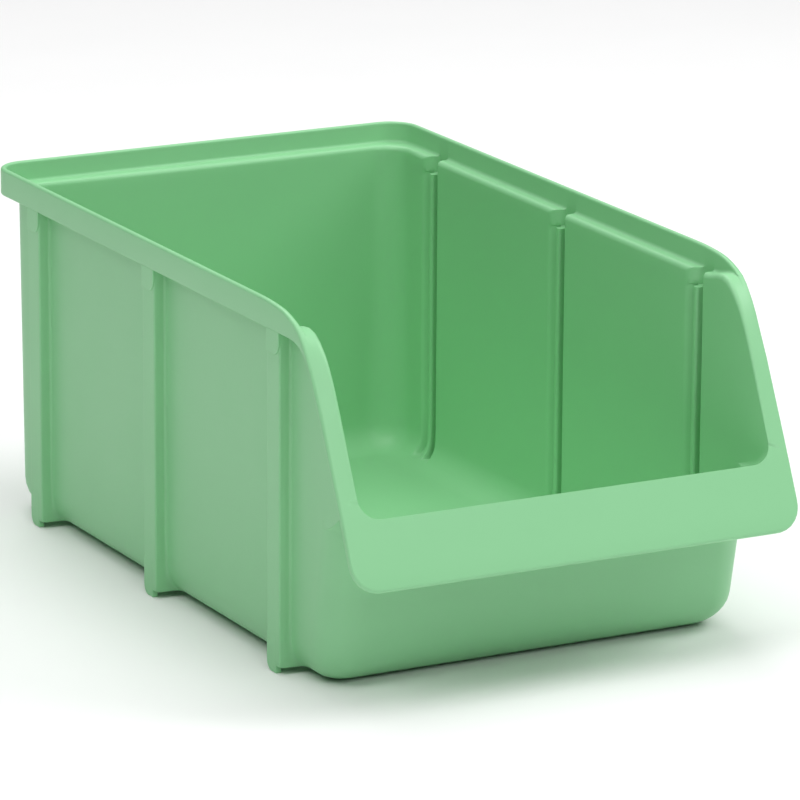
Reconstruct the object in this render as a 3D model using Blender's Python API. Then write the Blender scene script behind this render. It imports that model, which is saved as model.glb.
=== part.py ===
"""Stackable open-front storage bin.

The real bin is one plastic moulding. It is modelled here as the named regions of that moulding: floor pan,
walls, hollow side ribs, stacking rim with its ledge, and front lip. Neighbours keep a small gap.
Metres, +Z up. The front faces -Y, and the origin is the middle of the footprint, on the ground.
"""

import math

import bmesh
import bpy
from mathutils import Matrix, Vector

MM = 0.001

# Overall sizes
BIN_LENGTH = 350 * MM
BIN_WIDTH = 206 * MM
BIN_HEIGHT = 155 * MM
WALL = 2.6 * MM
GAP = 0.3 * MM

# Stacking rim: a band standing outside the walls, joined to them by a flat ledge
RIM_STEP = 5.8 * MM
RIM_BAND = 11.9 * MM
RIM_CORNER = 14 * MM

# Walls: the front one leans forward, and its corners are the largest
DRAFT = 0.3 * MM
FLOOR_BEND = 15.5 * MM
REAR_CORNER = 10 * MM
FRONT_CORNER = 19 * MM
FLOOR_CORNER = 4 * MM
CORNER_RETURN = 5 * MM
FRONT_SETBACK = 40.3 * MM
FRONT_LEAN = math.radians(14.2)

# Flange and lip lie in one plane that leans back. A flat sill joins the lip's top to the front wall.
FLANGE_LEAN = math.radians(25.5)
LIP_LOW = 52.6 * MM
LIP_HEIGHT = 29 * MM
LIP_CORNER = 14 * MM
MOUTH_CORNER = 10 * MM
RIM_BEND = 40 * MM
LEDGE_BEND = 20 * MM
EDGE_PROUD = 0.4 * MM

# Side ribs
RIB_WIDTH = 11.5 * MM
RIB_REAR_IN = 44 * MM
RIB_FRONT_IN = 25.16 * MM
RIB_REAR_LEG = 3.3 * MM
RIB_FRONT_LEG = 1.9 * MM
TAB_DROP = 9.7 * MM
TAB_PROUD = 0.5 * MM
TONGUE_WIDTH = 8.5 * MM
TONGUE_CORNER = 3 * MM
TONGUE_DROP = 2.9 * MM

# Where the regions part
PAN_HEIGHT = FLOOR_BEND + 1 * MM
ARC_STEPS = 7
REACH = 400 * MM

# Sizes that follow
HALF_WIDTH = BIN_WIDTH / 2
REAR_Y = BIN_LENGTH / 2
FRONT_Y = -BIN_LENGTH / 2
LEDGE_LOW = BIN_HEIGHT - RIM_BAND
LEDGE_TOP = LEDGE_LOW + WALL
WALL_TOP = LEDGE_LOW - GAP
WALL_HALF = HALF_WIDTH - RIM_STEP
WALL_REAR = REAR_Y - RIM_STEP
SLOPE = math.tan(FLANGE_LEAN)
LIP_TOP = LIP_LOW + LIP_HEIGHT * math.cos(FLANGE_LEAN)
RIB_NAMES = ("rear", "middle", "front")
PLASTIC = (0.25, 0.56, 0.29, 1.0)


def flange_y(z, behind=0.0):
    """Y of the flange's front plane at height z, or of the plane that lies behind it by a distance."""
    return FRONT_Y + (z - LIP_LOW) * SLOPE + behind / math.cos(FLANGE_LEAN)


def front_wall_y(z):
    """Y of the front wall's outer face at height z."""
    return FRONT_Y + FRONT_SETBACK - z * math.tan(FRONT_LEAN)


def rib_y(index):
    """Y of a rib's middle: the rear one from the rim's back, the front one behind flange and corner, one halfway."""
    rear = REAR_Y - RIB_REAR_IN
    corner_end = front_wall_y(0) + FRONT_CORNER
    front = max(flange_y(BIN_HEIGHT) + RIB_FRONT_IN, corner_end + RIB_WIDTH / 2 + GAP)
    return rear + (front - rear) * index / 2


# ---------------------------------------------------------------- outlines and solids


def rounded(corners):
    """Outline from (x, y, radius) corners, each corner with a radius turned into an arc."""
    points = []
    for index, (x, y, radius) in enumerate(corners):
        here = Vector((x, y))
        if not radius:
            points.append(here)
            continue
        before = (Vector(corners[index - 1][:2]) - here).normalized()
        after = (Vector(corners[(index + 1) % len(corners)][:2]) - here).normalized()
        half = before.angle(after) / 2
        centre = here + (before + after).normalized() * (radius / math.sin(half))
        start = here + before * (radius / math.tan(half)) - centre
        end = here + after * (radius / math.tan(half)) - centre
        turn = start.angle_signed(end)
        for step in range(ARC_STEPS + 1):
            points.append(centre + Matrix.Rotation(-turn * step / ARC_STEPS, 2) @ start)
    return points


def add_object(name, mesh, collection, material=None):
    thing = bpy.data.objects.new(name, mesh)
    collection.objects.link(thing)
    if material:
        mesh.materials.clear()
        mesh.materials.append(material)
    return thing


def mesh_of_curve(outline, thickness):
    """Mesh of a flat outline extruded along local Z, half its thickness each way, its caps welded."""
    curve = bpy.data.curves.new("outline", "CURVE")
    curve.dimensions = "2D"
    curve.fill_mode = "BOTH"
    curve.extrude = thickness / 2
    spline = curve.splines.new("POLY")
    spline.points.add(len(outline) - 1)
    for point, place in zip(spline.points, outline):
        point.co = (place[0], place[1], 0, 1)
    spline.use_cyclic_u = True
    holder = bpy.data.objects.new("outline", curve)
    bpy.context.scene.collection.objects.link(holder)
    graph = bpy.context.evaluated_depsgraph_get()
    mesh = bpy.data.meshes.new_from_object(holder.evaluated_get(graph))
    bpy.data.objects.remove(holder)
    bpy.data.curves.remove(curve)
    shape = bmesh.new()
    shape.from_mesh(mesh)
    bmesh.ops.remove_doubles(shape, verts=shape.verts, dist=0.00001)
    bmesh.ops.recalc_face_normals(shape, faces=shape.faces)
    shape.to_mesh(mesh)
    shape.free()
    return mesh


def side_prism(outline, low_x, high_x):
    """Solid whose outline is drawn in the side view, as (y, z), between two X planes."""
    mesh = mesh_of_curve(outline, high_x - low_x)
    turn = Matrix(((0, 0, 1, (low_x + high_x) / 2), (1, 0, 0, 0), (0, 1, 0, 0), (0, 0, 0, 1)))
    mesh.transform(turn)
    return mesh


def plan_prism(outline, low_z, high_z):
    """Solid whose outline is drawn in plan, as (x, y), between two heights."""
    mesh = mesh_of_curve(outline, high_z - low_z)
    mesh.transform(Matrix.Translation((0, 0, (low_z + high_z) / 2)))
    return mesh


def block(low, high):
    """Box between two opposite corners."""
    shape = bmesh.new()
    bmesh.ops.create_cube(shape, size=1)
    size = Vector(high) - Vector(low)
    bmesh.ops.scale(shape, vec=size, verts=shape.verts)
    bmesh.ops.translate(shape, vec=(Vector(high) + Vector(low)) / 2, verts=shape.verts)
    mesh = bpy.data.meshes.new("block")
    shape.to_mesh(mesh)
    shape.free()
    return mesh


def combine(target, mesh, operation, cutters):
    """Adds a Boolean of the target object with a hidden helper made from the mesh."""
    helper = add_object(f"{target.name}_{operation.lower()}", mesh, cutters)
    helper.hide_render = True
    helper.display_type = "WIRE"
    boolean = target.modifiers.new(operation.title(), "BOOLEAN")
    boolean.operation = operation
    boolean.solver = "EXACT"
    boolean.object = helper


# ---------------------------------------------------------------- the tub


def tub_ring(z, inset, bend=0.0, front=None):
    """Rounded outline of the tub at height z, drawn in from its outer face by inset and by the bend."""
    taper = DRAFT * (1 - z / LEDGE_LOW)
    half = WALL_HALF - taper - inset - bend
    rear = WALL_REAR - taper - inset - bend
    if front is None:
        front = front_wall_y(z) + inset / math.cos(FRONT_LEAN) + bend
    turned = bend / (FLOOR_BEND - inset)
    rear_radius = (REAR_CORNER - inset) * (1 - turned) + FLOOR_CORNER * turned
    front_radius = (FRONT_CORNER - inset) * (1 - turned) + FLOOR_CORNER * turned
    corners = [
        (half, rear, rear_radius),
        (-half, rear, rear_radius),
        (-half, front, front_radius),
        (half, front, front_radius),
    ]
    return [(p.x, p.y, z) for p in rounded(corners)]


def tub_body(inset):
    """Closed body of the tub, or of its hollow when drawn in: rings joined from the floor bend upwards.

    At the sill the front steps far forward, which leaves the sill as a flat plate between the two bodies.
    """
    sill = LIP_TOP - WALL + inset
    radius = FLOOR_BEND - inset
    rings = []
    for step in range(ARC_STEPS + 1):
        angle = math.pi / 2 * step / ARC_STEPS
        height = inset + radius * (1 - math.cos(angle))
        rings.append(tub_ring(height, inset, radius * (1 - math.sin(angle))))
    rings.append(tub_ring(sill, inset))
    rings.append(tub_ring(sill, inset, front=-REACH))
    rings.append(tub_ring(BIN_HEIGHT + inset, inset, front=-REACH))
    shape = bmesh.new()
    loops = [[shape.verts.new(place) for place in ring] for ring in rings]
    count = len(loops[0])
    for lower, upper in zip(loops, loops[1:]):
        for index in range(count):
            after = (index + 1) % count
            shape.faces.new((lower[index], lower[after], upper[after], upper[index]))
    shape.faces.new(list(reversed(loops[0])))
    shape.faces.new(loops[-1])
    bmesh.ops.recalc_face_normals(shape, faces=shape.faces)
    mesh = bpy.data.meshes.new("tub_body")
    shape.to_mesh(mesh)
    shape.free()
    return mesh


def region(name, outline, parts, cutters, material, low_x=-REACH, high_x=REACH):
    """The stretch of tub wall that lies inside a side-view outline and between two X planes."""
    thing = add_object(name, tub_body(0), parts, material)
    combine(thing, tub_body(WALL), "DIFFERENCE", cutters)
    combine(thing, side_prism(outline, low_x, high_x), "INTERSECT", cutters)
    return thing


def corner_plane_y(z, shift=0.0):
    """Y of the leaning plane that parts the front wall's corners from the side walls."""
    return front_wall_y(z) + FRONT_CORNER + CORNER_RETURN + shift


def build_tub(parts, cutters, material):
    low = -REACH
    behind = WALL + GAP
    rear_cut = WALL_REAR - REAR_CORNER - CORNER_RETURN
    pan = [(-REACH, low), (REACH, low), (REACH, PAN_HEIGHT), (-REACH, PAN_HEIGHT)]
    region("floor_pan", pan, parts, cutters, material)

    base = PAN_HEIGHT + GAP
    rear = [(rear_cut, base), (REACH, base), (REACH, WALL_TOP), (rear_cut, WALL_TOP)]
    region("rear_wall", rear, parts, cutters, material)

    front = [
        (corner_plane_y(base), base),
        (corner_plane_y(LIP_TOP), LIP_TOP + WALL / 4),
        (flange_y(LIP_TOP + WALL / 4, behind), LIP_TOP + WALL / 4),
        (flange_y(LIP_LOW, behind), LIP_LOW),
        (-REACH, LIP_LOW),
        (-REACH, base),
    ]
    region("front_wall", front, parts, cutters, material)

    sill = LIP_TOP + WALL / 4 + GAP
    side = rounded(
        [
            (rear_cut - GAP, base, 0),
            (rear_cut - GAP, WALL_TOP, 0),
            (flange_y(WALL_TOP, behind), WALL_TOP, LEDGE_BEND - behind),
            (flange_y(sill, behind), sill, 0),
            (corner_plane_y(LIP_TOP, GAP), sill, 0),
            (corner_plane_y(base, GAP), base, 0),
        ]
    )
    for word, low_x, high_x in (("left", -REACH, -WALL_HALF / 2), ("right", WALL_HALF / 2, REACH)):
        wall = region(f"{word}_wall", side, parts, cutters, material, low_x, high_x)
        for index in range(len(RIB_NAMES)):
            reach = RIB_WIDTH / 2 + GAP
            slot = block(
                (low_x, rib_y(index) - reach, PAN_HEIGHT + WALL),
                (high_x, rib_y(index) + reach, LEDGE_LOW - WALL),
            )
            combine(wall, slot, "DIFFERENCE", cutters)


# ---------------------------------------------------------------- ribs


def rib_channel(side, index):
    """Plan of a rib: a channel open towards the inside of the bin."""
    rear = rib_y(index) + RIB_WIDTH / 2
    front = rib_y(index) - RIB_WIDTH / 2
    back = WALL_HALF - DRAFT - WALL
    hollow = HALF_WIDTH - TAB_PROUD - WALL
    corners = [
        (HALF_WIDTH, rear),
        (HALF_WIDTH, front),
        (back, front),
        (back, front + RIB_FRONT_LEG),
        (hollow, front + RIB_FRONT_LEG),
        (hollow, rear - RIB_REAR_LEG),
        (back, rear - RIB_REAR_LEG),
        (back, rear),
    ]
    return [(side * x, y) for x, y in corners]


def rib_foot(index):
    """Side view of a rib's lower end: its front corner cut back, its rear corner rounded into a tongue."""
    rear = rib_y(index) + RIB_WIDTH / 2
    front = rib_y(index) - RIB_WIDTH / 2
    return [
        (front - WALL, BIN_HEIGHT, 0),
        (front - WALL, TONGUE_DROP, 0),
        (front + GAP, TONGUE_DROP, 0),
        (rear - TONGUE_WIDTH, 0, 0),
        (rear + GAP, 0, TONGUE_CORNER),
        (rear + GAP, BIN_HEIGHT, 0),
    ]


def build_ribs(parts, cutters, material):
    """Ribs: below the tab the face lies slightly back, and past the floor bend only the outer part goes on."""
    low = PAN_HEIGHT + WALL + GAP
    high = LEDGE_LOW - WALL - GAP
    tab_low = LEDGE_LOW - TAB_DROP
    for word, side in (("left", -1), ("right", 1)):
        for index, name in enumerate(RIB_NAMES):
            channel = plan_prism(rib_channel(side, index), -WALL, high)
            rib = add_object(f"{word}_rib_{name}", channel, parts, material)
            foot_x = sorted((side * WALL_HALF / 2, side * (HALF_WIDTH + WALL)))
            combine(rib, side_prism(rounded(rib_foot(index)), *foot_x), "INTERSECT", cutters)
            inner_x = sorted((0, side * (WALL_HALF + GAP)))
            combine(rib, block((inner_x[0], -REACH, -REACH), (inner_x[1], REACH, low)), "DIFFERENCE", cutters)
            face_x = sorted((side * (HALF_WIDTH - TAB_PROUD), side * REACH))
            combine(rib, block((face_x[0], -REACH, -REACH), (face_x[1], REACH, tab_low)), "DIFFERENCE", cutters)


# ---------------------------------------------------------------- rim, flange and lip


def rim_outline(inset):
    """Plan outline of the rim's outer face, drawn in by inset, and left open towards the front."""
    half = HALF_WIDTH - inset
    rear = REAR_Y - inset
    radius = max(RIM_CORNER - inset, WALL)
    return [(half, -REACH, 0), (half, rear, radius), (-half, rear, radius), (-half, -REACH, 0)]


def rear_rim(parts, cutters, material):
    """L-section round the rear: a ledge ring with the band ring standing on its outer edge."""
    rim_cut = REAR_Y - RIM_CORNER - CORNER_RETURN
    ledge_inner = RIM_STEP + WALL
    body = plan_prism(rounded(rim_outline(0)), LEDGE_LOW, BIN_HEIGHT)
    rim = add_object("rear_rim", body, parts, material)
    combine(rim, plan_prism(rounded(rim_outline(WALL)), LEDGE_TOP, REACH), "DIFFERENCE", cutters)
    mouth = plan_prism(rounded(rim_outline(ledge_inner)), 0, REACH)
    combine(rim, mouth, "DIFFERENCE", cutters)
    keep = block((-REACH, rim_cut, 0), (REACH, REACH, REACH))
    combine(rim, keep, "INTERSECT", cutters)
    return rim_cut


def profile_corner(z, behind=0.0):
    return (flange_y(z, behind), z)


def side_rims(rim_cut, parts, cutters, material):
    """Side rims: the ledge bends down into the flange, and the band fades out into the flange's edge."""
    rear = rim_cut - GAP
    end = LIP_TOP + MOUTH_CORNER + GAP
    drop = WALL * math.sin(FLANGE_LEAN)
    outer = [
        (rear, BIN_HEIGHT, 0),
        (*profile_corner(BIN_HEIGHT), RIM_BEND),
        (*profile_corner(end), 0),
        (flange_y(end - drop, WALL), end - drop, 0),
        (*profile_corner(LEDGE_LOW, WALL), LEDGE_BEND - WALL),
        (rear, LEDGE_LOW, 0),
    ]
    above = [
        (rear + WALL, 2 * BIN_HEIGHT, 0),
        (rear + WALL, LEDGE_TOP, 0),
        (*profile_corner(LEDGE_TOP, EDGE_PROUD), LEDGE_BEND),
        (*profile_corner(end / 2, EDGE_PROUD), 0),
        (-REACH, end / 2, 0),
        (-REACH, 2 * BIN_HEIGHT, 0),
    ]
    inner = WALL_HALF - WALL
    for word, side in (("left", -1), ("right", 1)):
        rim_x = sorted((side * inner, side * HALF_WIDTH))
        open_x = sorted((0, side * (HALF_WIDTH - WALL)))
        rim = add_object(f"{word}_rim", side_prism(rounded(outer), *rim_x), parts, material)
        combine(rim, side_prism(rounded(above), *open_x), "DIFFERENCE", cutters)
        for index in range(len(RIB_NAMES)):
            low = rib_y(index) - RIB_WIDTH / 2 + RIB_FRONT_LEG
            high = rib_y(index) + RIB_WIDTH / 2 - RIB_FRONT_LEG
            notch = block((open_x[0], low, 0), (open_x[1], high, LEDGE_TOP + WALL))
            combine(rim, notch, "DIFFERENCE", cutters)


def front_lip(parts, material):
    """U-shaped plate in the flange's plane: the broad lip and the two corners of the mouth above it."""
    horn = LIP_HEIGHT + MOUTH_CORNER / math.cos(FLANGE_LEAN)
    mouth = WALL_HALF - WALL
    corners = [
        (-HALF_WIDTH, horn, 0),
        (-HALF_WIDTH, 0, LIP_CORNER),
        (HALF_WIDTH, 0, LIP_CORNER),
        (HALF_WIDTH, horn, 0),
        (mouth, horn, 0),
        (mouth, LIP_HEIGHT, MOUTH_CORNER),
        (-mouth, LIP_HEIGHT, MOUTH_CORNER),
        (-mouth, horn, 0),
    ]
    mesh = mesh_of_curve(rounded(corners), WALL)
    mesh.transform(Matrix.Translation((0, 0, -WALL / 2)))
    mesh.transform(Matrix.Rotation(math.pi / 2 - FLANGE_LEAN, 4, "X"))
    mesh.transform(Matrix.Translation((0, FRONT_Y, LIP_LOW)))
    add_object("front_lip", mesh, parts, material)


# ---------------------------------------------------------------- the bin


def plastic():
    material = bpy.data.materials.new("green_polypropylene")
    material.use_nodes = True
    shader = material.node_tree.nodes["Principled BSDF"]
    shader.inputs["Base Color"].default_value = PLASTIC
    shader.inputs["Roughness"].default_value = 0.45
    shader.inputs["Metallic"].default_value = 0.0
    return material


def add_collection(name):
    collection = bpy.data.collections.new(name)
    bpy.context.scene.collection.children.link(collection)
    return collection


def main():
    for thing in list(bpy.data.objects):
        bpy.data.objects.remove(thing)
    parts = add_collection("storage_bin")
    cutters = add_collection("cutters")
    material = plastic()
    build_tub(parts, cutters, material)
    build_ribs(parts, cutters, material)
    rim_cut = rear_rim(parts, cutters, material)
    side_rims(rim_cut, parts, cutters, material)
    front_lip(parts, material)


main()
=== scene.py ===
"""An open-fronted stackable storage bin, moulded in one piece of green polypropylene.

The whole bin is one closed skin: columns run round the bin, rows run from the middle of the floor up the
inside, over the rim, the front collar and the lip, and down the outside to the middle of the underside.
"""

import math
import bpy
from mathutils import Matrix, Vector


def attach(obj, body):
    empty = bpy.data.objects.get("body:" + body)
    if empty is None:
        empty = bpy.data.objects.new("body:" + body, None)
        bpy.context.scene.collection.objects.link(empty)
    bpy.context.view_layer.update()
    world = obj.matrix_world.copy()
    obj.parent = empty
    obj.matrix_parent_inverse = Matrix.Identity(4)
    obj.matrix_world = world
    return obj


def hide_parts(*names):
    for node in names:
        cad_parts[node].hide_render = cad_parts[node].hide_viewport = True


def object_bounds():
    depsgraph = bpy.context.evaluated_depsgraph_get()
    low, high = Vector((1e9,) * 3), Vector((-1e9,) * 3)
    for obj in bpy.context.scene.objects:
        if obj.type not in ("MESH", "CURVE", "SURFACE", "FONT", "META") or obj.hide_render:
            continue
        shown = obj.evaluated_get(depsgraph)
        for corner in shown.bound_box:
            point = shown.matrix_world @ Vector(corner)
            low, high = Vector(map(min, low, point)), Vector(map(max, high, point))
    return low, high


bl_info = {
    "name": "Stackable storage bin",
    "version": (1, 0, 0),
    "blender": (4, 5, 0),
    "location": "View3D > Sidebar > Storage bin",
    "description": "Makes a moulded open-fronted storage bin and the plain stage it stands on",
    "category": "Add Mesh",
}

import bmesh
import bpy
import numpy as np
from bpy.props import FloatProperty, FloatVectorProperty, PointerProperty
from mathutils import Matrix

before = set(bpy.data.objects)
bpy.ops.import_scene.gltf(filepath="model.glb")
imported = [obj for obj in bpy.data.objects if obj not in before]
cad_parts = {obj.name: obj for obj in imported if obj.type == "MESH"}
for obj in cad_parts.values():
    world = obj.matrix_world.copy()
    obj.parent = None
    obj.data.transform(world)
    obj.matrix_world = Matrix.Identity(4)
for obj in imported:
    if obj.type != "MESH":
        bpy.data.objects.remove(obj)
START_LOW, START_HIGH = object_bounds()
MM = 0.001

# Columns round the right half of the bin, from the middle of the back to the middle of the front.
REAR_COLUMNS = 16
REAR_TURN_COLUMNS = 12
FAN_COLUMNS = 12
UPPER_TURN_COLUMNS = 16
LOWER_TURN_COLUMNS = 20
FRONT_COLUMNS = 24

# Sizes in millimetres. The profile tables are drawn for a bin of this height and half length. Columns in
# front of STILL_Y stand at the same place on every level, and SIDE_START is the room kept behind the first
# of them for the rear corner. The mouth's fillet starts and ends by its distances behind the lip's top edge.
DRAWN_TOP = 155.0
DRAWN_END = 175.0
MIDDLE_Y = 15.0
STILL_Y = 140.0
SIDE_START = 17.0
FAN_START = -112.0
FRONT_SETBACK = 40.3
LIP_SETBACK = 11.9
REAR_RIB_IN = 44.0
MIDDLE_RIB_IN = 160.0
FRONT_RIB_IN = 74.0
REAR_CORNER = 19.0
REAR_CORNER_FALL = 4.0
FRONT_CORNER_FALL = 5.0
FLOOR_CORNER = 4.0
RIM_CORNER = 14.0
CREST_CORNER = 11.4
COLLAR_RISE = 39.1
MOUTH_RADIUS = 9.0
FILLET_START = 27.0
FILLET_LENGTH = 22.0
SILL_FALL = 7.0
LIP_CORNER = 11.5
DRAWN_RIB_DEPTH = 5.4

# The collar's slope: its cosine and sine, and how far collar and lip lean back for each millimetre up.
COLLAR_COS = 0.9026
COLLAR_SIN = 0.4305
COLLAR_LEAN = 0.477
LIP_LEAN = 0.4542


class BinSizes(bpy.types.PropertyGroup):
    """The sizes of the moulding."""

    length: FloatProperty(
        name="Length",
        description="Front of the lip to the back of the rim",
        default=START_HIGH.y - START_LOW.y,
        unit="LENGTH",
    )
    width: FloatProperty(
        name="Width",
        description="Across the two side rims",
        default=START_HIGH.x - START_LOW.x,
        unit="LENGTH",
    )
    height: FloatProperty(
        name="Height",
        description="Underside to the top of the rim",
        default=START_HIGH.z - START_LOW.z,
        unit="LENGTH",
    )
    wall: FloatProperty(
        name="Wall",
        description="Thickness of the walls, floor, rim and lip",
        default=0.0026,
        unit="LENGTH",
    )
    rim_step: FloatProperty(
        name="Rim step",
        description="How far the rim stands out from the walls",
        default=0.0058,
        unit="LENGTH",
    )
    rim_band: FloatProperty(
        name="Rim band",
        description="Height of the upright band round the top",
        default=0.0119,
        unit="LENGTH",
    )
    floor_bend: FloatProperty(
        name="Floor bend",
        description="Outside radius where the walls turn into the floor",
        default=0.0155,
        unit="LENGTH",
    )
    front_corner: FloatProperty(
        name="Front corner",
        description="Outside radius of the two upright front corners",
        default=0.019,
        unit="LENGTH",
    )
    front_lean: FloatProperty(
        name="Front lean",
        description="How far the front wall leans forward",
        default=math.radians(14.2),
        subtype="ANGLE",
    )
    sill_height: FloatProperty(
        name="Sill height",
        description="Height of the lip's top edge, where the sill falls away behind it",
        default=0.0788,
        unit="LENGTH",
    )
    lip_height: FloatProperty(
        name="Lip height",
        description="Length of the lip down its slope",
        default=0.029,
        unit="LENGTH",
    )
    rib_width: FloatProperty(
        name="Rib width",
        description="Width of each upright side rib",
        default=0.0115,
        unit="LENGTH",
    )
    rib_depth: FloatProperty(
        name="Rib depth",
        description="How far each rib stands out from the wall",
        default=0.0052,
        unit="LENGTH",
    )


class BinFinish(bpy.types.PropertyGroup):
    """The colour and surface of the plastic."""

    green: FloatVectorProperty(
        name="Green",
        description="Main colour of the plastic",
        default=(0.26, 0.605, 0.305),
        size=3,
        min=0,
        max=1,
        subtype="COLOR",
    )
    pale_green: FloatVectorProperty(
        name="Pale green",
        description="Colour of the faint lighter clouds that flow leaves in the plastic",
        default=(0.285, 0.635, 0.33),
        size=3,
        min=0,
        max=1,
        subtype="COLOR",
    )
    roughness: FloatProperty(
        name="Roughness",
        description="Roughness of the satin face",
        default=0.42,
        min=0,
        max=1,
        subtype="FACTOR",
    )
    grain: FloatProperty(
        name="Grain",
        description="Strength of the fine moulded grain",
        default=0.12,
        min=0,
        max=1,
        subtype="FACTOR",
    )


class StageSettings(bpy.types.PropertyGroup):
    """The floor, the light and the camera."""

    floor_colour: FloatVectorProperty(
        name="Floor colour",
        description="Colour of the plain floor",
        default=(0.90, 0.90, 0.90),
        size=3,
        min=0,
        max=1,
        subtype="COLOR",
    )
    sky: FloatProperty(
        name="Surround",
        description="Strength of the even white light from all round",
        default=0.06,
        min=0,
    )
    overhead: FloatProperty(
        name="Overhead light",
        description="Power of the large soft light above the bin",
        default=41.0,
        unit="POWER",
    )
    front: FloatProperty(
        name="Front light",
        description="Power of the high soft light in front of the bin",
        default=20.0,
        unit="POWER",
    )
    left: FloatProperty(
        name="Left light",
        description="Power of the high soft light to the left of the bin",
        default=19.0,
        unit="POWER",
    )
    right: FloatProperty(
        name="Right light",
        description="Power of the soft light to the right of the bin",
        default=26.0,
        unit="POWER",
    )
    back: FloatProperty(
        name="Back light",
        description="Power of the high soft light behind the bin",
        default=19.0,
        unit="POWER",
    )


def along(curve, share):
    """The points at these shares of a line's length, found by straight steps between its points."""
    steps = np.linalg.norm(np.diff(curve, axis=0), axis=1)
    run = np.concatenate([[0.0], np.cumsum(steps)])
    return np.stack([np.interp(share * run[-1], run, axis) for axis in curve.T], 1)


def smooth_curve(points):
    """A curve through the points: each stretch is a cubic that leaves and meets its ends along the line
    between the points on either side of them."""
    p = np.asarray(points, float)
    ends = np.vstack([2 * p[0] - p[1], p, 2 * p[-1] - p[-2]])
    a, b, c, d = (ends[i : len(p) - 1 + i, None] for i in range(4))
    t = np.linspace(0, 1, 24, endpoint=False)[:, None]
    cubic = 2 * b + (c - a) * t + (2 * a - 5 * b + 4 * c - d) * t**2
    cubic = 0.5 * (cubic + (3 * b - a - 3 * c + d) * t**3)
    return np.vstack([cubic.reshape(-1, p.shape[1]), p[-1:]])


def rounded_path(corners, radii, steps):
    """A path up each column through its corners, and the corner that each row of it came from. A corner
    with a radius is turned by an arc that meets both its sides: the mix of the arc's start by (1 - t)
    squared, the corner by 2 t (1 - t) times the cosine of half the turn, and the arc's end by t squared,
    over the sum of those weights. An arc takes up less than half of either side."""
    sides = np.diff(corners, axis=0)
    lengths = np.linalg.norm(sides, axis=2)
    unit = sides / np.maximum(lengths, 1e-9)[..., None]
    rows, tags = [corners[:1]], [0]
    for k in range(1, len(corners) - 1):
        if not steps[k]:
            rows.append(corners[k : k + 1])
            tags.append(k)
            continue
        half = np.arccos(np.clip((unit[k - 1] * unit[k]).sum(1), -0.999, 1.0)) / 2
        most = 0.49 * np.minimum(lengths[k - 1], lengths[k])
        reach = np.minimum(radii[k] * np.tan(half), most)[:, None]
        start = corners[k] - unit[k - 1] * reach
        end = corners[k] + unit[k] * reach
        t = np.linspace(0, 1, steps[k] + 1)[:, None, None]
        weights = (1 - t) ** 2, 2 * t * (1 - t) * np.cos(half)[:, None], t**2
        mixed = weights[0] * start + weights[1] * corners[k] + weights[2] * end
        rows.append(mixed / sum(weights))
        tags += [k] * (steps[k] + 1)
    rows.append(corners[-1:])
    return np.concatenate(rows), np.array(tags + [len(corners) - 1])


def ease(value):
    """0 below 0, 1 above 1, and between them three times the square less twice the cube."""
    t = np.clip(value, 0, 1)
    return t * t * (3 - 2 * t)


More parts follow.
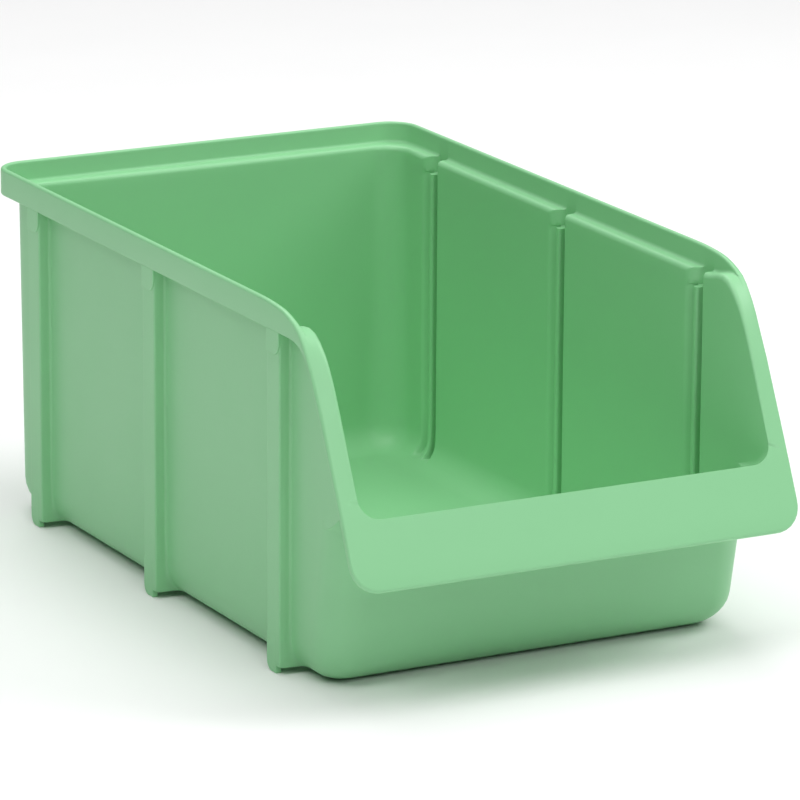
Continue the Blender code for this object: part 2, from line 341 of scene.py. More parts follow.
class BinShape:
    """The numbers of one bin in millimetres, and the rows of its right half."""

    def __init__(self, sizes):
        self.half = sizes.width / MM / 2
        self.end = sizes.length / MM / 2
        self.top = sizes.height / MM
        self.wall = sizes.wall / MM
        self.step = sizes.rim_step / MM
        self.bend = sizes.floor_bend / MM
        self.front_radius = sizes.front_corner / MM
        self.lean = math.tan(sizes.front_lean)
        self.sill = sizes.sill_height / MM
        self.lip = sizes.lip_height / MM
        self.sill_back = self.sill - SILL_FALL
        self.rib_half = sizes.rib_width / MM / 2
        self.rib_depth = sizes.rib_depth / MM
        self.band_low = self.top - sizes.rim_band / MM
        self.ledge = self.band_low + self.wall
        self.inner = self.half - self.step - self.wall
        self.outer = self.half - self.step
        self.band_inner = self.half - self.wall
        self.base_y = FRONT_SETBACK - self.end
        self.lip_y = LIP_SETBACK - self.end
        self.ribs = (self.end - REAR_RIB_IN, self.end - MIDDLE_RIB_IN, FRONT_RIB_IN - self.end)
        self.set_columns()

    def set_columns(self):
        """Where the columns stand: shares of the straights, angles of the turns, places along the side."""
        self.rear = np.linspace(0, 1, REAR_COLUMNS, endpoint=False)
        self.rear_turn = np.linspace(0, math.pi / 2, REAR_TURN_COLUMNS, endpoint=False)
        start = self.end - self.step - SIDE_START
        near = [13, 11.4, 10.5, 9.8, 9.0, 8.4, 7.6, 7.0, 6.6, 6.2, 5.95, 5.85, 5.75, 5.7, 5.55, 5.4, 5.2]
        near += [4.9, 4.6, 4.2, 4.05, 3.9, 3.6, 3.2, 2.7, 2.1, 1.5, 1.0, 0.7, 0.5, 0.4, 0.3, -0.8, -1.8]
        near += [-2.8, -3.5, -3.9, -3.95, -4.1, -4.3, -4.6, -4.9, -5.1, -5.4, -5.6, -5.75, -5.85, -5.95]
        near += [-6.2, -6.6, -7.2, -8, -9.5]
        ribs = np.add.outer(self.ribs, near).ravel()
        gaps = [start, start - 3, start - 6]
        for rear, front in zip(self.ribs[:-1], self.ribs[1:]):
            gaps += list(np.linspace(rear - 12, front + 16, 9))
        places = np.concatenate([ribs, gaps, [FAN_START]])
        self.side = np.sort(places[places >= FAN_START])[::-1]
        self.fan = np.linspace(0, 1, FAN_COLUMNS + 1)[1:-1]
        turn = UPPER_TURN_COLUMNS + LOWER_TURN_COLUMNS
        self.front_turn = np.linspace(0, math.pi / 2, turn + 1)
        self.upper = np.arange(UPPER_TURN_COLUMNS + 1) / UPPER_TURN_COLUMNS
        self.lower = np.arange(1, LOWER_TURN_COLUMNS + 1) / LOWER_TURN_COLUMNS
        self.front = np.linspace(0, 1, FRONT_COLUMNS + 1)[1:]
        self.side_from = REAR_COLUMNS + REAR_TURN_COLUMNS
        self.fan_from = self.side_from + len(self.side)
        self.turn_from = self.fan_from + len(self.fan)
        self.lower_from = self.turn_from + len(self.upper)
        self.front_from = self.turn_from + turn + 1
        self.count = self.front_from + FRONT_COLUMNS

    def ring(self, inset, rear_radius, front_radius, front_y, z):
        """One level of the tub or rim for each value given: a rectangle set in from the rim's outside, with
        its rear and front corners turned by their radii and its front at its own place, at height z."""
        values = (inset, rear_radius, front_radius, front_y, z)
        inset, rear, front, low, z = (np.atleast_1d(np.asarray(v, float))[:, None] for v in values)
        side, back = self.half - inset, self.end - inset
        nothing = np.zeros_like(inset)
        still = STILL_Y - DRAWN_END + self.end
        stretch = (back - rear - still) / (self.side[0] - still)
        along_side = np.where(self.side > still, still + (self.side - still) * stretch, self.side + nothing)
        x = [self.rear * (side - rear), side - rear + rear * np.sin(self.rear_turn)]
        x += [side + 0 * self.side, side + 0 * self.fan]
        x += [side - front + front * np.cos(self.front_turn), (side - front) * (1 - self.front)]
        y = [back + 0 * self.rear, back - rear + rear * np.cos(self.rear_turn)]
        y += [along_side, FAN_START + (low + front - FAN_START) * self.fan]
        y += [low + front - front * np.sin(self.front_turn), low + 0 * self.front]
        x, y = np.concatenate(x, 1), np.concatenate(y, 1)
        return np.stack([x, y, z + 0 * x], 2)

    def corners_at(self, z, outside):
        """Radii of the rear and front corners at height z: the rear one widens and the front one tightens
        evenly towards the floor."""
        z = np.asarray(z, float)
        thick = 0 if outside else self.wall
        rear = REAR_CORNER - REAR_CORNER_FALL * np.clip(z / self.band_low, 0, 1) - thick
        front = self.front_radius - FRONT_CORNER_FALL * (1 - np.clip(z / self.sill, 0, 1)) - thick
        return rear, front

    def front_line(self, z, outside):
        """The front wall's outer or inner face at height z: its foot, less its lean times the height."""
        thick = 0 if outside else self.wall * math.sqrt(1 + self.lean**2)
        return self.base_y + thick - self.lean * np.asarray(z, float)

    def bend_rows(self, heights, outside):
        """Rows round the floor bend at these heights. The angle's sine is one less the height's share of
        the radius, and each row is set in by the radius times one less the angle's cosine."""
        radius = self.bend if outside else self.bend - self.wall
        base = 0.0 if outside else self.wall
        angle = np.arcsin(np.clip(1 - (np.array(heights) - base) / radius, 0, 1))
        turn = 1 - np.cos(angle)
        inset = self.step + (0 if outside else self.wall) + radius * turn
        corners = self.corners_at(heights, outside)
        rear, front = (corner * (1 - turn) + FLOOR_CORNER * turn for corner in corners)
        front_y = self.front_line(heights, outside) + radius * turn
        return self.ring(inset, rear, front, front_y, heights)

    def plane_y(self, z):
        """The collar's and lip's face at height z: it leans back a little more above the sill."""
        return self.lip_y + (z - self.sill) * np.where(z > self.sill, COLLAR_LEAN, LIP_LEAN)

    def on_plane(self, x, climb):
        """Points of the collar's face, from x and the way up its slope from the sill."""
        z = self.sill + COLLAR_COS * climb
        return np.stack([x + 0 * climb, self.plane_y(z) + 0 * x, z + 0 * x], 1)

    def contours(self):
        """The three lines along the side, front to back: the inner edge of ledge and collar, the outer edge
        of band and collar, and the band's lower edge. Each is a smooth curve in the side's own plane, cut
        where the fan starts."""
        front, up = DRAWN_END - self.end, self.top - DRAWN_TOP
        upper_z = self.sill + COLLAR_RISE
        plane = float(self.plane_y(upper_z))
        ledge = [(-85, 145.7), (-98, 145.7), (-104, 145.8), (-109.4, 146.2), (-114, 147.3), (-118.8, 148.2)]
        ledge += [(-122.9, 147.5), (-126.9, 145.4), (-130.8, 142.3), (-134.3, 138.4), (-139.5, 130.0)]
        band = [(-85, 155), (-92, 154.95), (-98, 154.7), (-104.6, 154.2), (-111, 153.3), (-117.5, 151.3)]
        band += [(-124.0, 148.0), (-129.6, 141.7), (-134.2, 135.0), (-138.3, 127.8)]
        low = [(-85, 143.1), (-98, 143.1), (-112, 143.1), (-118.4, 142.9), (-124, 141.6), (-128.3, 139.0)]
        low += [(-131.8, 135.6), (-134.2, 131.8)]
        ends = (plane - 1.0, upper_z), (plane + 0.5, upper_z), (plane + 2.85, upper_z - 1.12)
        found = []
        for line, end in zip((ledge, band, low), ends):
            points = np.array(line, float) + (front, up)
            curve = smooth_curve(np.vstack([points, end]))
            side_z = np.interp(-self.side, -curve[:, 0], curve[:, 1])
            cut = np.interp(-FAN_START, -curve[:, 0], curve[:, 1])
            rest = np.vstack([(FAN_START, cut), curve[curve[:, 0] < FAN_START]])
            found.append((side_z, along(rest, self.fan)))
        return found

    def mouth_fillet(self, x, y):
        """The fillet between the sill and the side wall, as a height over the sill. Its radius r grows
        forward from nothing to the mouth's corner radius. At a distance d from the wall the height is
        r less the root of r squared less (r - d) squared, times the cosine of the collar's slope."""
        radius = np.clip((self.lip_y + FILLET_START - y) / FILLET_LENGTH, 0, 1) * MOUTH_RADIUS
        reach = np.clip(radius - (self.inner - x), 0, radius)
        return COLLAR_COS * (radius - np.sqrt(np.maximum(radius**2 - reach**2, 0)))

    def sill_surface(self, x, y):
        """Height of the sill: level behind the front wall's inner face, then an even climb to the lip's top
        edge, with the mouth's fillet added."""
        wall_y = self.front_line(self.sill_back, False)
        climb = np.clip((wall_y - y) / (wall_y - self.lip_y), 0, 1)
        return self.sill_back + SILL_FALL * climb + self.mouth_fillet(x, y)

    def key_rows(self):
        """The path's corners for every column, from the top of the inner wall over the rim, collar and lip
        to the top of the outer wall, with each corner's radius, its number of steps, and the rim's row."""
        turned = self.front_radius - self.wall
        inset = self.step + self.wall
        z = self.sill_back
        flat = self.ring(inset, *self.corners_at(z, False), self.front_line(z, False), z)[0]
        at_ledge = self.corners_at(self.ledge, False)[0]
        ledge = self.ring(inset, at_ledge, turned, 0.0, self.ledge)[0]
        edge = self.ring(self.wall, CREST_CORNER, turned, 0.0, self.ledge)[0]
        crest = self.ring(self.wall, CREST_CORNER, turned, 0.0, self.top)[0]
        rim = self.ring(0.0, RIM_CORNER, turned, 0.0, self.top)[0]
        low = self.ring(0.0, RIM_CORNER, turned, 0.0, self.band_low)[0]
        at_band = self.corners_at(self.band_low, True)[0]
        under = self.ring(self.step, at_band, self.front_radius, 0.0, self.band_low)[0]
        soffit = self.sill_back - self.wall
        foot_y = self.front_line(soffit, True)
        foot = self.ring(self.step, *self.corners_at(soffit, True), foot_y, soffit)[0]
        side = slice(self.side_from, self.fan_from)
        fan = slice(self.fan_from, self.turn_from)
        upper = slice(self.turn_from, self.lower_from)
        lower = slice(self.lower_from, self.front_from)
        front = slice(self.front_from, self.count)
        pairs = ((ledge, edge), (crest, rim), (low, under))
        for (side_z, fan_yz), pair in zip(self.contours(), pairs):
            for row in pair:
                row[side, 2] = side_z
                row[fan, 1:] = fan_yz
        back = np.array([0, COLLAR_COS, -COLLAR_SIN]) * self.wall

        turned_up = COLLAR_COS * MOUTH_RADIUS
        drop = self.upper
        lift = 1 - drop
        height = self.sill + turned_up + (COLLAR_RISE - turned_up) * lift
        plane = self.plane_y(height)
        ledge[upper] = np.stack([self.inner + 0 * height, plane - lift, height], 1)
        rim[upper] = np.stack([self.half + 0 * height, plane + 0.5 * lift, height], 1)
        low[upper] = rim[upper] + back
        under[upper] = low[upper] - [self.step, 0, 0]

        turn = np.linspace(0, math.pi / 2, 40)
        inner_x = np.append(self.inner - MOUTH_RADIUS + MOUTH_RADIUS * np.cos(turn), self.inner - turned)
        inner_w = np.append(MOUTH_RADIUS - MOUTH_RADIUS * np.sin(turn), 0.0)
        curve = along(np.stack([inner_x, inner_w], 1), self.lower)
        ledge[lower] = self.on_plane(curve[:, 0], curve[:, 1])
        wide_r = MOUTH_RADIUS + self.wall
        out_x = np.append(np.cos(turn) * wide_r + self.inner - MOUTH_RADIUS, self.inner - turned)
        out_w = np.append(MOUTH_RADIUS - wide_r * np.sin(turn), -self.wall)
        curve = along(np.stack([out_x, out_w], 1), self.lower)
        under[lower] = self.on_plane(curve[:, 0], curve[:, 1]) + back
        tip = LIP_CORNER - self.lip
        round_x = self.half - LIP_CORNER + LIP_CORNER * np.cos(turn)
        outer_x = np.concatenate([[self.half], round_x, [self.inner - turned]])
        outer_w = np.concatenate([[MOUTH_RADIUS], tip - LIP_CORNER * np.sin(turn), [-self.lip]])
        curve = along(np.stack([outer_x, outer_w], 1), self.lower)
        rim[lower] = self.on_plane(curve[:, 0], curve[:, 1])
        low[lower] = rim[lower] + back

        across = (self.inner - turned) * (1 - self.front)
        level = 0 * self.front
        ledge[front] = self.on_plane(across, level)
        under[front] = self.on_plane(across, level - self.wall) + back
        rim[front] = self.on_plane(across, level - self.lip)
        low[front] = rim[front] + back

        fade = np.zeros(self.count)
        fade[fan] = ease((self.fan - 0.14) / 0.24)
        fade[self.turn_from :] = 1
        fade = fade[:, None]
        edge = edge * (1 - fade) + (ledge * 0.34 + rim * 0.66) * fade
        crest = crest * (1 - fade) + (ledge * 0.28 + rim * 0.72) * fade

        last = self.lower_from - 1
        mouth = flat.copy()
        mouth[upper, 0] = self.inner
        mouth[upper, 1] = flat[self.turn_from, 1] * lift + ledge[last, 1] * drop
        mouth[upper, 2] = self.sill_surface(mouth[upper, 0], mouth[upper, 1])
        mouth[self.lower_from :] = ledge[self.lower_from :]
        root = foot.copy()
        root[upper, 0] = self.outer
        root[upper, 1] = foot[self.turn_from, 1] * lift + under[last, 1] * drop
        root[self.lower_from :] = under[self.lower_from :]
        root[upper, 2] = soffit + (under[last, 2] - soffit) * drop**2

        gather = np.zeros(self.count)
        gather[: self.lower_from] = 1
        gather[lower] = 1 - ease(self.lower / 0.3)
        rows, radii, steps = [], [], []

        def add(row, radius=0.0, count=0):
            rows.append(row)
            radii.append(radius + np.zeros(self.count))
            steps.append(count)

        z = self.sill_back - 6
        below = self.ring(inset, *self.corners_at(z, False), self.front_line(z, False), z)
        add(below[0])
        add(flat, 1.5, 5)
        for share in np.linspace(0, 1, 8)[1:-1]:
            moved = share * (1 - gather) + (1 - (1 - share) ** 2) * gather
            row = flat + (mouth - flat) * moved[:, None]
            turning = row[self.turn_from :]
            turning[:, 2] = self.sill_surface(turning[:, 0], turning[:, 1])
            add(row)
        add(mouth)
        heights = np.array([82.0, 95.0, 108.0, 120.0, 130.0, 136.4, 136.6, 138.35, 138.65, 140.6])
        for share in (heights + self.top - DRAWN_TOP - self.sill_back) / (self.ledge - self.sill_back):
            add(mouth + (ledge - mouth) * share)
        wide = np.full(self.count, 2.4)
        wide[self.lower_from :] = 1.7
        add(ledge, wide, 6)
        add(edge, 1.5, 5)
        add(crest, 1.1, 5)
        rim_row = len(rows)
        add(rim, np.minimum(wide, 1.5), 6)
        add(low, 0.8, 4)
        add(under, 1.5, 4)
        for share in (0.3, 0.6, 0.85):
            add(under + (root - under) * share)
        add(root)
        for share in (0.35, 0.7):
            add(root + (foot - root) * share)
        add(foot, 4.0, 5)
        z = soffit - 6
        beneath = self.ring(self.step, *self.corners_at(z, True), self.front_line(z, True), z)
        add(beneath[0])
        return np.array(rows), np.array(radii), steps, rim_row

    def channel(self, s, z):
        """How deep the inside of a rib is sunk in the wall, from the place s across the rib and the height:
        a rolled edge, a groove, a rounded bead and a slot, and near the top one open pocket."""
        low_s = [-4.9, -4.6, -4.3, -4.1, -3.95, -3.9, 0.3, 0.4, 0.5, 0.7, 1.0, 1.5, 2.1, 2.7, 3.2, 3.6, 3.9]
        low_d = [0, 0.05, 0.18, 0.4, 0.9, 5.7, 5.7, 5.0, 1.2, 0.6, 0.25, 0.04, 0, 0.06, 0.22, 0.5, 0.95]
        low_s += [4.05, 4.2, 5.2, 5.7, 6.2, 7.0, 7.6, 8.4, 9.0, 9.8, 10.5]
        low_d += [2.6, 4.0, 4.0, 2.7, 2.2, 1.7, 1.25, 0.7, 0.4, 0.1, 0]
        top_s = [-4.9, -4.6, -4.3, -4.1, -3.95, -3.9, 3.7, 4.0, 4.3, 4.9, 5.4, 6.2, 7.2, 8.4, 9.6, 10.3]
        top_d = [0, 0.05, 0.18, 0.4, 0.9, 5.9, 5.9, 5.7, 4.6, 3.5, 2.8, 1.9, 1.1, 0.45, 0.1, 0]
        low = np.interp(s, low_s, low_d, left=0, right=0)
        top = np.interp(s, top_s, top_d, left=0, right=0)
        bar = np.minimum(low, 3.4)
        level = z - self.top + DRAWN_TOP
        return np.where(level > 138.5, top, np.where(level > 136.5, bar, low))

    def ridge(self, s):
        """How far the outside of a rib stands out, from the place s across it: a flat face with rounded
        edges, steep sides and a soft fillet that is wider on the front side."""
        out_s = [-9.5, -8, -7.2, -6.6, -6.2, -5.95, -5.85, -5.75, -5.6, -5.4, -5.1, -4.9, -4.6]
        out_d = [0, 0.09, 0.19, 0.35, 0.6, 0.95, 1.4, 4.6, 5.0, 5.22, 5.36, 5.39, 5.4]
        out_s += [4.55, 4.8, 5.1, 5.4, 5.6, 5.75, 5.85, 5.95, 6.2, 6.6, 7.2]
        out_d += [5.4, 5.39, 5.36, 5.22, 5.0, 4.6, 1.4, 0.95, 0.5, 0.2, 0]
        return np.interp(s, out_s, out_d, left=0, right=0) * self.rib_depth / DRAWN_RIB_DEPTH

    def across_rib(self, y):
        """The place across the nearest rib, for points of the side; the ribs' own scale is 11.5 wide."""
        gaps = y[..., None] - np.array(self.ribs)
        nearest = np.abs(gaps).argmin(-1)
        return np.take_along_axis(gaps, nearest[..., None], -1)[..., 0]

    def half_rows(self):
        """All rows of the right half, from the middle of the floor to the middle of the underside. On the
        side, inner rows are pushed out to the channel's floor and outer rows to the rib's face. Round the
        floor bend that push is faded by each row's own share."""
        side = slice(self.side_from, self.fan_from)
        scales = np.array([0.08, 0.25, 0.5, 0.75, 0.94])[:, None, None]
        middle = np.array([0.0, MIDDLE_Y, 0.0])

        inner_z = np.array([2.6, 2.9, 3.3, 3.9, 4.6, 5.5, 5.6, 6.2, 7.0, 8.2, 9.8, 12.5, 15.5])
        inner_push = np.array([0, 0, 0, 0, 0, 0, 0.7, 0.88, 0.97, 1, 1, 1, 1])[:, None]
        inside = self.bend_rows(inner_z, False)
        s = self.across_rib(inside[:, side, 1])
        depth = self.channel(s, inside[:, side, 2])
        goal = self.inner + depth
        x = inside[:, side, 0]
        inside[:, side, 0] = x + np.maximum(goal - x, 0) * inner_push * np.clip(depth / 0.8, 0, 1)

        wall_z = np.array([24.0, 40.0, 56.0, 66.0])
        wall_z = wall_z[wall_z < self.sill_back - 10]
        inset = self.step + self.wall + 0 * wall_z
        front_y = self.front_line(wall_z, False)
        inner_wall = self.ring(inset, *self.corners_at(wall_z, False), front_y, wall_z)
        corners, radii, steps, rim_row = self.key_rows()
        path, tags = rounded_path(corners, radii, steps)
        inset = self.step + 0 * wall_z
        front_y = self.front_line(wall_z, True)
        outer_wall = self.ring(inset, *self.corners_at(wall_z, True), front_y, wall_z)[::-1]

        inner_rows = np.concatenate([inner_wall, path[tags < rim_row]])
        s = self.across_rib(inner_rows[:, side, 1])
        goal = np.minimum(self.inner + self.channel(s, inner_rows[:, side, 2]), self.band_inner)
        inner_rows[:, side, 0] = np.maximum(inner_rows[:, side, 0], goal)
        outer_rows = np.concatenate([path[tags >= rim_row], outer_wall])
        s = self.across_rib(outer_rows[:, side, 1])
        goal = self.outer + self.ridge(s)
        far = np.arange(len(outer_rows)) >= (tags == rim_row).sum()
        x = outer_rows[:, side, 0]
        outer_rows[:, side, 0] = np.where(far[:, None], np.maximum(x, goal), x)

        outer_z = np.array([15.5, 12, 9, 6.8, 5, 4, 3.3, 2.95, 2.9, 2.1, 1.4, 0.8, 0.35, 0.08, 0])
        outer_push = np.array([1, 1, 1, 1, 1, 1, 0.97, 0.88, 0, 0, 0, 0, 0, 0, 0])[:, None]
        outside = self.bend_rows(outer_z, True)
        s = self.across_rib(outside[:, side, 1])
        depth = self.ridge(s)
        x = outside[:, side, 0]
        goal = self.outer + depth
        outside[:, side, 0] = x + np.maximum(goal - x, 0) * outer_push * np.clip(depth, 0, 1)

        floor = middle + (inside[0] - middle) * scales
        floor[..., 2] = self.wall
        base = middle + (outside[-1] - middle) * scales[::-1]
        base[..., 2] = 0
        return np.concatenate([floor, inside, inner_rows, outer_rows, outside, base])


def skin_faces(rows, columns):
    """Quads of a grid that closes on itself sideways, and a fan of triangles to a pole at each end."""
    down, across = np.meshgrid(np.arange(rows - 1), np.arange(columns), indexing="ij")
    beside = (across + 1) % columns
    quads = [down * columns + across, down * columns + beside]
    quads += [(down + 1) * columns + beside, (down + 1) * columns + across]
    quads = np.stack(quads, -1).reshape(-1, 4)
    ring = np.arange(columns)
    after = (ring + 1) % columns
    first = np.stack([0 * ring + rows * columns, after, ring], 1)
    last = (rows - 1) * columns
    second = np.stack([0 * ring + rows * columns + 1, last + ring, last + after], 1)
    return quads, np.concatenate([first, second])


def closed_object(name, grid, poles):
    """A mesh object from a grid of rows and columns in millimetres and its two poles. Points that fall
    together are merged, and the faces are turned to face out."""
    rows, columns = grid.shape[:2]
    points = np.vstack([grid.reshape(-1, 3), poles]) * MM
    quads, triangles = skin_faces(rows, columns)
    mesh = bpy.data.meshes.new(name)
    mesh.from_pydata(points.tolist(), [], quads.tolist() + triangles.tolist())
    work = bmesh.new()
    work.from_mesh(mesh)
    bmesh.ops.remove_doubles(work, verts=work.verts, dist=4e-6)
    bmesh.ops.dissolve_degenerate(work, dist=1e-6, edges=work.edges)
    bmesh.ops.triangulate(work, faces=[f for f in work.faces if len(f.verts) > 4])
    if work.calc_volume(signed=True) < 0:
        bmesh.ops.reverse_faces(work, faces=work.faces)
    open_edges = sum(1 for e in work.edges if len(e.link_faces) != 2)
    work.to_mesh(mesh)
    work.free()
    if open_edges:
        raise RuntimeError(f"{name} has {open_edges} edges that don't join two faces")
    mesh.shade_smooth()
    mesh.set_sharp_from_angle(angle=math.radians(40))
    made = bpy.data.objects.new(name, mesh)
    bpy.context.scene.collection.objects.link(made)
    return made


def mirrored(half):
    """Both halves of the bin as one closed run of columns: the right half, then its mirror image the other
    way round, without the two columns on the middle line."""
    other = half[:, -2:0:-1] * [-1, 1, 1]
    return np.concatenate([half, other], 1)


def rounded_outline(points, radii, steps=6):
    """A closed outline through the points with each corner turned by its radius."""
    ring = np.array(points, float)
    looped = np.vstack([ring[-1:], ring, ring[:1]])[:, None]
    turns = np.array([0, *radii, 0], float)[:, None]
    path, tags = rounded_path(looped, turns, [0, *[steps] * len(ring), 0])
    return path[(tags > 0) & (tags <= len(ring)), 0]


def plate_grid(outline, inner_x, outer_x, edge):
    """A flat plate: the outline of y and z is carried from the inner to the outer x, and its outer edge is
    turned by an arc that draws the outline in towards its middle."""
    middle = (outline.min(0) + outline.max(0)) / 2
    size = (outline.max(0) - outline.min(0)) / 2
    angle = np.linspace(0, math.pi / 2, 5)
    x = np.concatenate([[inner_x, inner_x], outer_x - edge * (1 - np.sin(angle)), [outer_x]])
    inset = np.concatenate([[edge * 3, 0], edge * (1 - np.cos(angle)), [edge * 3]])
    scale = 1 - inset[:, None] / size
    yz = middle + (outline - middle) * scale[:, None, :]
    grid = np.concatenate([np.broadcast_to(x[:, None, None], (*yz.shape[:2], 1)), yz], 2)
    return grid, np.array([[inner_x, *middle], [outer_x, *middle]])


def node_group(name, inputs, outputs):
    """An empty shader group with these named inputs, with their defaults, and outputs."""
    group = bpy.data.node_groups.new(name, "ShaderNodeTree")
    for label, kind, value in inputs:
        socket = group.interface.new_socket(label, in_out="INPUT", socket_type=kind)
        socket.default_value = value
    for label, kind in outputs:
        group.interface.new_socket(label, in_out="OUTPUT", socket_type=kind)
    start = group.nodes.new("NodeGroupInput")
    end = group.nodes.new("NodeGroupOutput")
    return group, start.outputs, end.inputs


def noise(nodes, scale, detail):
    """A noise texture of this scale and detail."""
    found = nodes.new("ShaderNodeTexNoise")
    found.inputs["Scale"].default_value = scale
    found.inputs["Detail"].default_value = detail
    return found


def flow_clouds():
    """A group that mixes two colours by slow clouds and gives a roughness that wanders about its middle."""
    inputs = [
        ("Vector", "NodeSocketVector", (0, 0, 0)),
        ("Colour", "NodeSocketColor", (0.5, 0.5, 0.5, 1)),
        ("Pale colour", "NodeSocketColor", (0.6, 0.6, 0.6, 1)),
        ("Roughness", "NodeSocketFloat", 0.5),
    ]
    outputs = [("Colour", "NodeSocketColor"), ("Roughness", "NodeSocketFloat")]
    group, start, end = node_group("Flow clouds", inputs, outputs)
    nodes, links = group.nodes, group.links
    cloud = noise(nodes, 9.0, 3.0)
    links.new(start["Vector"], cloud.inputs["Vector"])
    mix = nodes.new("ShaderNodeMix")
    mix.data_type = "RGBA"
    links.new(cloud.outputs["Fac"], mix.inputs[0])
    links.new(start["Colour"], mix.inputs[6])
    links.new(start["Pale colour"], mix.inputs[7])
    links.new(mix.outputs[2], end["Colour"])
    patch = noise(nodes, 38.0, 4.0)
    links.new(start["Vector"], patch.inputs["Vector"])
    spread = nodes.new("ShaderNodeMapRange")
    spread.inputs["To Min"].default_value = -0.05
    spread.inputs["To Max"].default_value = 0.05
    links.new(patch.outputs["Fac"], spread.inputs["Value"])
    total = nodes.new("ShaderNodeMath")
    total.operation = "ADD"
    links.new(start["Roughness"], total.inputs[0])
    links.new(spread.outputs["Result"], total.inputs[1])
    links.new(total.outputs[0], end["Roughness"])
    return group


def moulded_grain():
    """A group that gives the height of the fine grain that a sparked mould leaves."""
    outputs = [("Height", "NodeSocketFloat")]
    group, start, end = node_group("Moulded grain", [("Vector", "NodeSocketVector", (0, 0, 0))], outputs)
    nodes, links = group.nodes, group.links
    fine, coarse = noise(nodes, 1500.0, 2.0), noise(nodes, 420.0, 2.0)
    total = nodes.new("ShaderNodeMath")
    total.operation = "MULTIPLY_ADD"
    total.inputs[1].default_value = 0.6
    links.new(start["Vector"], fine.inputs["Vector"])
    links.new(start["Vector"], coarse.inputs["Vector"])
    links.new(fine.outputs["Fac"], total.inputs[0])
    links.new(coarse.outputs["Fac"], total.inputs[2])
    links.new(total.outputs[0], end["Height"])
    return group


def group_once(name, make):
    """The named shader group, made if it isn't there yet."""
    return bpy.data.node_groups.get(name) or make()


def clouded_material(name, colour, pale, roughness, grain):
    """A surface coloured by the flow clouds, with the moulded grain in its normal where grain is over 0."""
    material = bpy.data.materials.new(name)
    material.use_nodes = True
    nodes, links = material.node_tree.nodes, material.node_tree.links
    shader = nodes["Principled BSDF"]
    place = nodes.new("ShaderNodeTexCoord")
    clouds = nodes.new("ShaderNodeGroup")
    clouds.node_tree = group_once("Flow clouds", flow_clouds)
    clouds.inputs["Colour"].default_value = (*colour, 1)
    clouds.inputs["Pale colour"].default_value = (*pale, 1)
    clouds.inputs["Roughness"].default_value = roughness
    links.new(place.outputs["Object"], clouds.inputs["Vector"])
    links.new(clouds.outputs["Colour"], shader.inputs["Base Color"])
    links.new(clouds.outputs["Roughness"], shader.inputs["Roughness"])
    if grain > 0:
        marks = nodes.new("ShaderNodeGroup")
        marks.node_tree = group_once("Moulded grain", moulded_grain)
        links.new(place.outputs["Object"], marks.inputs["Vector"])
        bump = nodes.new("ShaderNodeBump")
        bump.inputs["Strength"].default_value = grain
        bump.inputs["Distance"].default_value = 0.0002
        links.new(marks.outputs["Height"], bump.inputs["Height"])
        links.new(bump.outputs["Normal"], shader.inputs["Normal"])
    return material, shader


def green_plastic():
    """The bin's one material, made from the finish the first time it is asked for."""
    finish = bpy.context.scene.bin_finish
    found = bpy.data.materials.get("Green polypropylene")
    if found:
        return found
    material, shader = clouded_material(
        "Green polypropylene", finish.green, finish.pale_green, finish.roughness, finish.grain
    )
    shader.inputs["IOR"].default_value = 1.49
    shader.inputs["Specular IOR Level"].default_value = 0.42
    return material


class MouldBody(bpy.types.Operator):
    """Makes the body: floor, walls, ribs, rim, collar and lip as one closed skin"""

    bl_idname = "storage_bin.mould_body"
    bl_label = "Mould the body"

    def execute(self, context):
        shape = BinShape(context.scene.bin_sizes)
        grid = mirrored(shape.half_rows())
        poles = [[0, MIDDLE_Y, shape.wall], [0, MIDDLE_Y, 0]]
        body = closed_object("moulded_body", grid, poles)
        body.data.materials.append(green_plastic())
        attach(body, "root")
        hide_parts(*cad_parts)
        return {"FINISHED"}


class MouldRibEnds(bpy.types.Operator):
    """Makes the tab under the rim and the tongue at the foot of each side rib"""

    bl_idname = "storage_bin.mould_rib_ends"
    bl_label = "Mould the rib ends"

    def execute(self, context):
        shape = BinShape(context.scene.bin_sizes)
        face = shape.outer + shape.rib_depth
        half = shape.rib_half - 0.05
        high, low = shape.band_low + 0.6, shape.band_low - 9.7
        for place, y in zip(("rear", "middle", "front"), shape.ribs):
            tab = [(y - half, high), (y + half, high), (y + half, low), (y - half, low)]
            tongue = [(y - half + 3, 16), (y + half, 16), (y + half, 0), (y - half + 3, 0)]
            tab_x = face - 1.5, min(face + 0.5, shape.half - 0.05)
            ends = {
                "tab": (rounded_outline(tab, [0.3, 0.3, 1.0, 5.0]), *tab_x),
                "tongue": (rounded_outline(tongue, [0.3, 0.3, 5.0, 0.5]), face - 2.3, face + 0.05),
            }
            for end, (outline, inner_x, outer_x) in ends.items():
                grid, poles = plate_grid(outline, inner_x, outer_x, 0.4)
                for hand, way in (("right", 1), ("left", -1)):
                    turned = [way, 1, 1]
                    made = closed_object(f"{hand}_{place}_{end}", grid * turned, poles * turned)
                    made.data.materials.append(green_plastic())
                    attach(made, "root")
        return {"FINISHED"}


def soft_light(name, place, size, power, aim):
    """A round area light at a place, turned to face its aim."""
    data = bpy.data.lights.new(name, "AREA")
    data.shape = "DISK"
    data.size = size
    data.energy = power
    light = bpy.data.objects.new(name, data)
    bpy.context.scene.collection.objects.link(light)
    away = np.subtract(place, aim)
    away /= np.linalg.norm(away)
    side = np.cross((0, 1, 0.01), away)
    side /= np.linalg.norm(side)
    turned = np.eye(4)
    turned[:3, :3] = np.stack([side, np.cross(away, side), away], 1)
    turned[:3, 3] = place
    light.matrix_world = Matrix(turned.tolist())


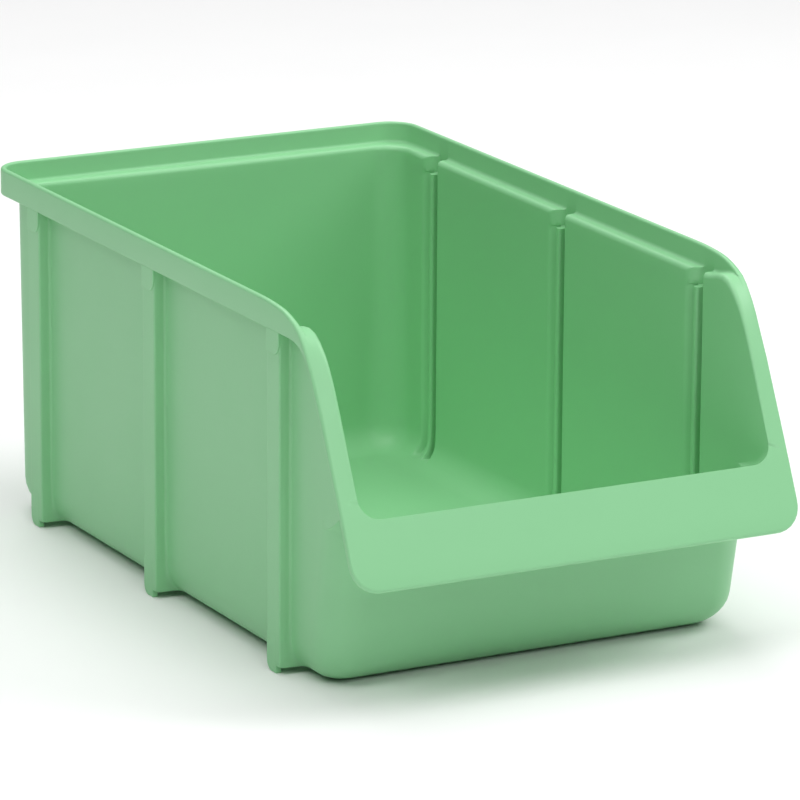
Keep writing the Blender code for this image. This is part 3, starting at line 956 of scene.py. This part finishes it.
class SetStage(bpy.types.Operator):
    """Makes the plain floor, the soft light and the camera"""

    bl_idname = "storage_bin.set_stage"
    bl_label = "Set the stage"

    def execute(self, context):
        stage = context.scene.bin_stage
        mesh = bpy.data.meshes.new("plain_floor")
        far = 9.0
        corners = [(-far, -far, 0), (far, -far, 0), (far, far, 0), (-far, far, 0)]
        mesh.from_pydata(corners, [], [(0, 1, 2, 3)])
        floor = bpy.data.objects.new("plain_floor", mesh)
        context.scene.collection.objects.link(floor)
        pale = [min(1.0, c * 1.03) for c in stage.floor_colour]
        material, _ = clouded_material("Matt white floor", stage.floor_colour, pale, 0.9, 0)
        mesh.materials.append(material)

        world = bpy.data.worlds.new("Even surround")
        world.use_nodes = True
        sky = world.node_tree.nodes["Background"]
        sky.inputs["Color"].default_value = (1, 1, 1, 1)
        sky.inputs["Strength"].default_value = stage.sky
        context.scene.world = world
        aim = (0, 0, 0.05)
        soft_light("overhead_light", (0.0, 0.0, 2.6), 3.0, stage.overhead, aim)
        soft_light("front_light", (0.0, -2.4, 1.9), 1.6, stage.front, aim)
        soft_light("left_light", (-1.7, -0.6, 2.2), 1.4, stage.left, aim)
        soft_light("right_light", (1.7, -0.6, 1.8), 1.4, stage.right, aim)
        soft_light("back_light", (0.2, 1.6, 2.2), 1.4, stage.back, aim)
        context.scene.view_settings.view_transform = "Standard"

        data = bpy.data.cameras.new("camera")
        data.lens = 251.7
        data.sensor_width = 36.0
        data.clip_start = 0.05
        data.clip_end = 60.0
        camera = bpy.data.objects.new("camera", data)
        context.scene.collection.objects.link(camera)
        right = (0.88361, -0.46819, 0.00589)
        up = (0.11845, 0.23568, 0.96459)
        back = (-0.45300, -0.85162, 0.26370)
        place = (-1.071376, -2.030858, 0.704857)
        rows = [[right[i], up[i], back[i], place[i]] for i in range(3)]
        camera.matrix_world = Matrix([*rows, [0, 0, 0, 1]])
        context.scene.camera = camera
        return {"FINISHED"}


class BinPanel(bpy.types.Panel):
    """Lists the sizes, the finish and the operators"""

    bl_idname = "VIEW3D_PT_storage_bin"
    bl_label = "Storage bin"
    bl_space_type = "VIEW_3D"
    bl_region_type = "UI"
    bl_category = "Storage bin"

    def draw(self, context):
        scene = context.scene
        for group in (scene.bin_sizes, scene.bin_finish, scene.bin_stage):
            column = self.layout.column(align=True)
            for name in group.__annotations__:
                column.prop(group, name)
        for operator in OPERATORS:
            self.layout.operator(operator.bl_idname)


OPERATORS = (MouldBody, MouldRibEnds, SetStage)
CLASSES = (BinSizes, BinFinish, StageSettings, *OPERATORS, BinPanel)


def register():
    for cls in CLASSES:
        bpy.utils.register_class(cls)
    bpy.types.Scene.bin_sizes = PointerProperty(type=BinSizes)
    bpy.types.Scene.bin_finish = PointerProperty(type=BinFinish)
    bpy.types.Scene.bin_stage = PointerProperty(type=StageSettings)


def unregister():
    del bpy.types.Scene.bin_stage
    del bpy.types.Scene.bin_finish
    del bpy.types.Scene.bin_sizes
    for cls in reversed(CLASSES):
        bpy.utils.unregister_class(cls)


def main():
    register()
    bpy.ops.storage_bin.mould_body()
    bpy.ops.storage_bin.mould_rib_ends()
    bpy.ops.storage_bin.set_stage()


if __name__ == "__main__":
    main()
